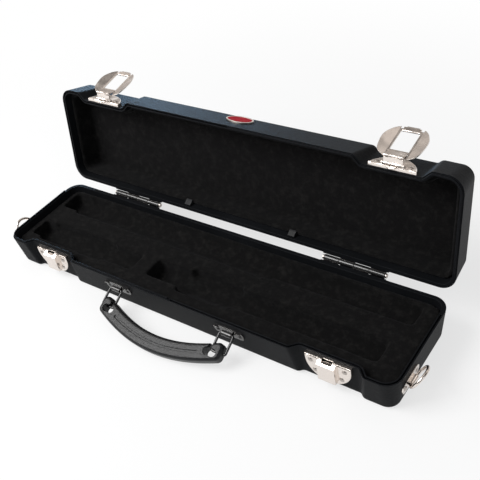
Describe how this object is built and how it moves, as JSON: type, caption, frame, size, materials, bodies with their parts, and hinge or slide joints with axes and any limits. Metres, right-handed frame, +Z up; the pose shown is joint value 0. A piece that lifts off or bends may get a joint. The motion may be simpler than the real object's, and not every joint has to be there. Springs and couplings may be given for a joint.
{
  "type": "flute case",
  "caption": "Open hard case for a flute: two moulded half-shells hinged at the back, draw latches, grip handle, strap rings, fitted lining.",
  "frame": {"origin": "middle of the underside of the base, on the surface the case rests on", "axes": "+X along the case, to the right seen from the handle side; +Y from the handle to the hinges; +Z up"},
  "size_m": [0.4238, 0.1889, 0.1319],
  "materials": {
    "shell": "fine moulded stipple",
    "lining": "black plush over a moulded core",
    "lug": "matt",
    "nickel": "bright nickel plate",
    "lacquer": "black lacquer",
    "grip": "stippled",
    "badge_border": "satin",
    "badge_field": "enamel"
  },
  "bodies": {
    "base": {"base_shell": "shell", "base_lining": "lining", "hinge_base_leaf_left": "lacquer", "hinge_base_leaf_right": "lacquer", "hinge_pin_left": "lacquer", "hinge_pin_right": "lacquer", "hinge_base_rivets": "lacquer", "keeper_left": "nickel", "keeper_right": "nickel", "keeper_rivets": "nickel", "handle_bracket_left": "lacquer", "handle_bracket_right": "lacquer", "handle_bracket_rivets": "lacquer", "strap_plate_left": "nickel", "strap_plate_right": "nickel", "strap_plate_rivets": "nickel"},
    "lid": {"lid_shell": "shell", "lid_lining": "lining", "lining_tabs": "lug", "hinge_lid_leaf_left": "lacquer", "hinge_lid_leaf_right": "lacquer", "hinge_lid_rivets": "lacquer", "latch_plate_left": "nickel", "latch_plate_right": "nickel", "latch_plate_rivets": "nickel", "latch_link_pin_left": "nickel", "latch_link_pin_right": "nickel", "badge_rim": "badge_border", "badge_face": "badge_field"},
    "link_left": {"latch_link_left": "nickel", "latch_lever_pin_left": "nickel"},
    "lever_left": {"latch_lever_left": "nickel"},
    "handle_ring_left": {"handle_ring_left": "lacquer"},
    "strap_ring_left": {"strap_ring_left": "nickel"},
    "link_right": {"latch_link_right": "nickel", "latch_lever_pin_right": "nickel"},
    "lever_right": {"latch_lever_right": "nickel"},
    "handle_ring_right": {"handle_ring_right": "lacquer"},
    "strap_ring_right": {"strap_ring_right": "nickel"},
    "grip": {"handle_grip": "grip"}
  },
  "joints": [
    {"name": "lid_hinge", "type": "hinge", "parent": "base", "child": "lid", "pos_m": [0, 0.0508, 0.02965], "axis": [1, 0, 0], "range_deg": [0, 100.5]},
    {"name": "latch_lever_left", "type": "hinge", "parent": "link_left", "child": "lever_left", "pos_m": [-0.145, 0.07202, 0.12823], "axis": [1, 0, 0], "range_deg": [0, 219.8]},
    {"name": "latch_link_left", "type": "hinge", "parent": "lid", "child": "link_left", "pos_m": [-0.145, 0.07074, 0.12216], "axis": [1, 0, 0], "range_deg": [-48.78, 0]},
    {"name": "handle_ring_left", "type": "hinge", "parent": "base", "child": "handle_ring_left", "pos_m": [-0.059, -0.0485, 0.02], "axis": [1, 0, 0], "range_deg": [-95, 50]},
    {"name": "strap_ring_left", "type": "hinge", "parent": "base", "child": "strap_ring_left", "pos_m": [-0.20109, -0.0215, 0.01413], "axis": [0, -1, 0], "range_deg": [-30, 147]},
    {"name": "latch_lever_right", "type": "hinge", "parent": "link_right", "child": "lever_right", "pos_m": [0.145, 0.07202, 0.12823], "axis": [1, 0, 0], "range_deg": [0, 219.8]},
    {"name": "latch_link_right", "type": "hinge", "parent": "lid", "child": "link_right", "pos_m": [0.145, 0.07074, 0.12216], "axis": [1, 0, 0], "range_deg": [-48.78, 0]},
    {"name": "handle_ring_right", "type": "hinge", "parent": "base", "child": "handle_ring_right", "pos_m": [0.059, -0.0485, 0.02], "axis": [1, 0, 0], "range_deg": [-95, 50]},
    {"name": "strap_ring_right", "type": "hinge", "parent": "base", "child": "strap_ring_right", "pos_m": [0.20109, -0.0215, 0.01413], "axis": [0, 1, 0], "range_deg": [-30, 147]},
    {"name": "handle_grip", "type": "hinge", "parent": "handle_ring_right", "child": "grip", "pos_m": [0.059, -0.06242, 0.01265], "axis": [1, 0, 0], "range_deg": [-20, 25]}
  ],
  "couplings": [
    {"joint": "latch_link_left", "follows": "latch_lever_left", "ratio": -0.2217},
    {"joint": "latch_link_right", "follows": "latch_lever_right", "ratio": -0.2217},
    {"joint": "handle_ring_left", "follows": "handle_ring_right", "ratio": 1}
  ]
}
